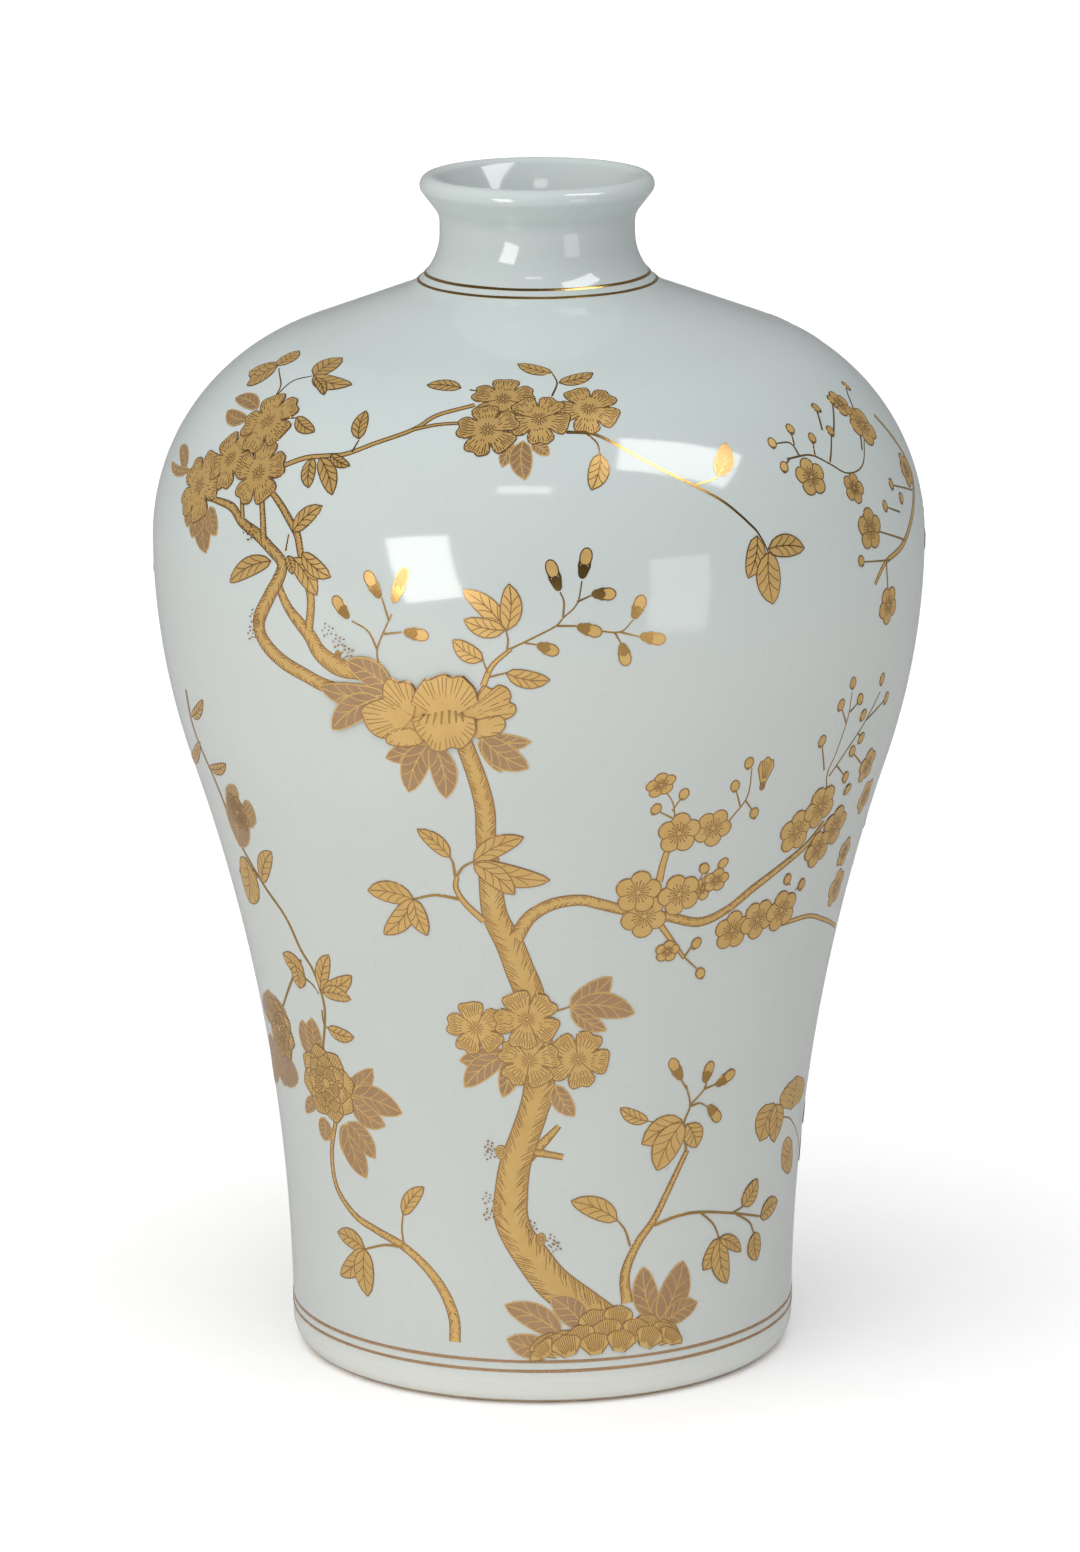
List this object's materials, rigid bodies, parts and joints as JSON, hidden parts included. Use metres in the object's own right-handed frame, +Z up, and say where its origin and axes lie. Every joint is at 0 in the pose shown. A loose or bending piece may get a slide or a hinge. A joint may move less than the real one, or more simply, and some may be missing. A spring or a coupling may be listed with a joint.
{
  "type": "meiping vase",
  "caption": "High-shouldered glazed porcelain vase with a short narrow neck, a rolled lip and a low foot ring, gilded with flowering branches.",
  "frame": {"origin": "centre of the foot ring's resting circle, on the table", "axes": "+Z up along the vase's axis; -Y is the side shown in the picture"},
  "size_m": [0.2449, 0.245, 0.38],
  "materials": {
    "biscuit": "unglazed fired porcelain, matte, with a faint warm flash",
    "glaze": "pale ice-blue celadon glaze, glossy",
    "gilding": "burnished gilding, satin"
  },
  "bodies": {
    "root": {"foot_ring": "biscuit", "base_disc": "biscuit", "lower_body": "biscuit", "upper_body": "biscuit", "neck": "biscuit", "outer_glaze": "glaze", "inner_glaze": "glaze", "base_glaze": "glaze", "neck_line_upper": "gilding", "neck_line_lower": "gilding", "foot_line_upper": "gilding", "foot_line_lower": "gilding"}
  },
  "joints": []
}
